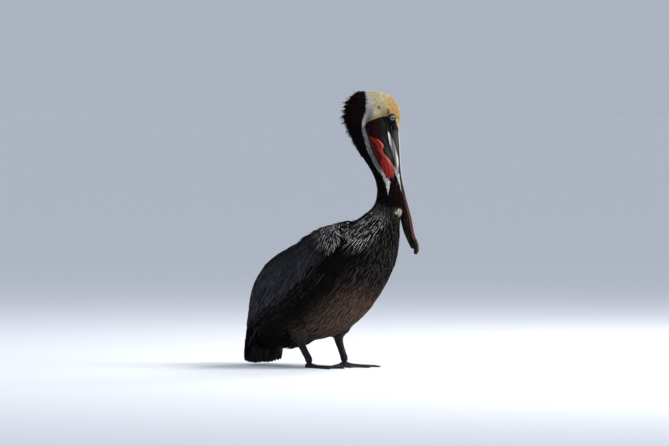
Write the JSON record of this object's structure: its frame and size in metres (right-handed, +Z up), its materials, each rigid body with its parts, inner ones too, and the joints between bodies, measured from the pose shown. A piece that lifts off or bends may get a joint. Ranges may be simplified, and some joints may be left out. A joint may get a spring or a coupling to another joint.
{
  "type": "brown pelican",
  "caption": "Adult brown pelican in breeding plumage, life size, standing on both feet with its neck folded in an S and its bill laid down beside its neck.",
  "frame": {"origin": "on the ground, under the middle of the bird's overall box, between the feet", "axes": "+Z up; -Y the way the bird's breast faces; +X the bird's left"},
  "size_m": [0.2566, 0.5259, 0.7484],
  "materials": {
    "body_feather": "dark brown contour feathers, silver-streaked on the chest",
    "neck_feather": "short dark brown feathers with a white stripe",
    "crown_feather": "short cream-yellow feathers",
    "wing_feather": "long slate-grey feathers with pale edges",
    "eye": "glossy, pale blue iris and dark pupil",
    "bill_horn": "satin grey-brown horn",
    "nail_horn": "satin dark horn",
    "pouch_skin": "soft bare red skin in folds",
    "leg_skin": "scaly grey-black skin"
  },
  "bodies": {
    "root": {"trunk": "body_feather", "neck_lower": "neck_feather", "neck_middle": "neck_feather", "neck_upper": "neck_feather", "head": "crown_feather", "eye_right": "eye", "eye_left": "eye", "bill_upper": "bill_horn", "bill_nail": "nail_horn", "bill_lower": "bill_horn", "pouch": "pouch_skin", "wing_right": "wing_feather", "wing_left": "wing_feather", "tail": "wing_feather", "thigh_right": "body_feather", "thigh_left": "body_feather", "shank_right": "leg_skin", "shank_left": "leg_skin", "foot_right": "leg_skin", "foot_left": "leg_skin"}
  },
  "joints": []
}
